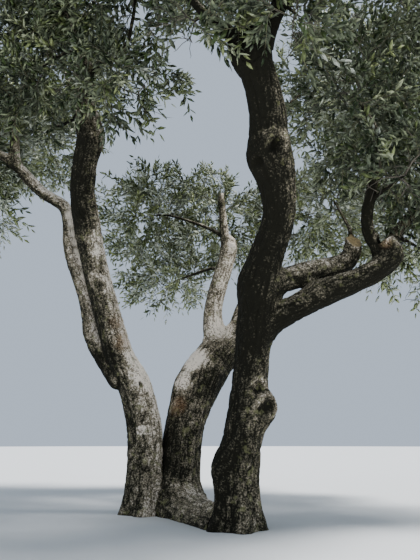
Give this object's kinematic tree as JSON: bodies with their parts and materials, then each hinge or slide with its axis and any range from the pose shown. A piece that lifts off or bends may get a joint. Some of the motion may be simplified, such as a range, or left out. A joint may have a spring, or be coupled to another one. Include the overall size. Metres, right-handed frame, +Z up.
{
  "type": "olive tree",
  "caption": "Old olive tree with leaning trunks from one root crown, pruned forking boughs and an open rounded crown of separate leaf masses.",
  "frame": {"origin": "middle of the flat cut under the right trunk, at ground level", "axes": "+Z up; +Y from the front, where the right trunk stands, to the back; +X to the right seen from the front"},
  "size_m": [4.7966, 4.2064, 5.1843],
  "materials": {
    "bark": "rough, fissured grey-brown bark",
    "leaves": "dark grey-green leaves with silvery undersides"
  },
  "bodies": {
    "root": {"right_trunk": "bark", "left_trunk": "bark", "middle_trunk": "bark", "root_crown": "bark", "left_back_bough": "bark", "left_back_upright": "bark", "left_rear_bough": "bark", "left_top_bough": "bark", "left_inner_bough": "bark", "middle_bough": "bark", "middle_shoot": "bark", "back_bough": "bark", "back_upper_bough": "bark", "upper_right_bough": "bark", "lower_right_bough": "bark", "right_upright_bough": "bark", "right_outer_bough": "bark", "top_left_bough": "bark", "top_middle_bough": "bark", "top_right_bough": "bark", "leaves_left_low": "leaves", "leaves_left_drooping": "leaves", "leaves_left_rim": "leaves", "leaves_left_high": "leaves", "leaves_left_centre": "leaves", "leaves_left_inner": "leaves", "leaves_left_hanging": "leaves", "leaves_left_rear": "leaves", "leaves_left_rear_high": "leaves", "leaves_back_left": "leaves", "leaves_back_low": "leaves", "leaves_back_middle": "leaves", "leaves_back_right": "leaves", "leaves_back_right_high": "leaves", "leaves_back_top": "leaves", "leaves_right_low": "leaves", "leaves_right_drooping": "leaves", "leaves_right_front": "leaves", "leaves_right_inner": "leaves", "leaves_right_middle": "leaves", "leaves_right_rear": "leaves", "leaves_right_far": "leaves", "leaves_right_high": "leaves", "leaves_right_outer": "leaves", "leaves_front_right": "leaves", "leaves_front_left": "leaves", "leaves_top_front": "leaves", "leaves_top_middle": "leaves", "leaves_top_right": "leaves", "leaves_top_left": "leaves", "leaves_crown_top": "leaves", "leaves_fork": "leaves", "leaves_fork_right": "leaves"}
  },
  "joints": []
}
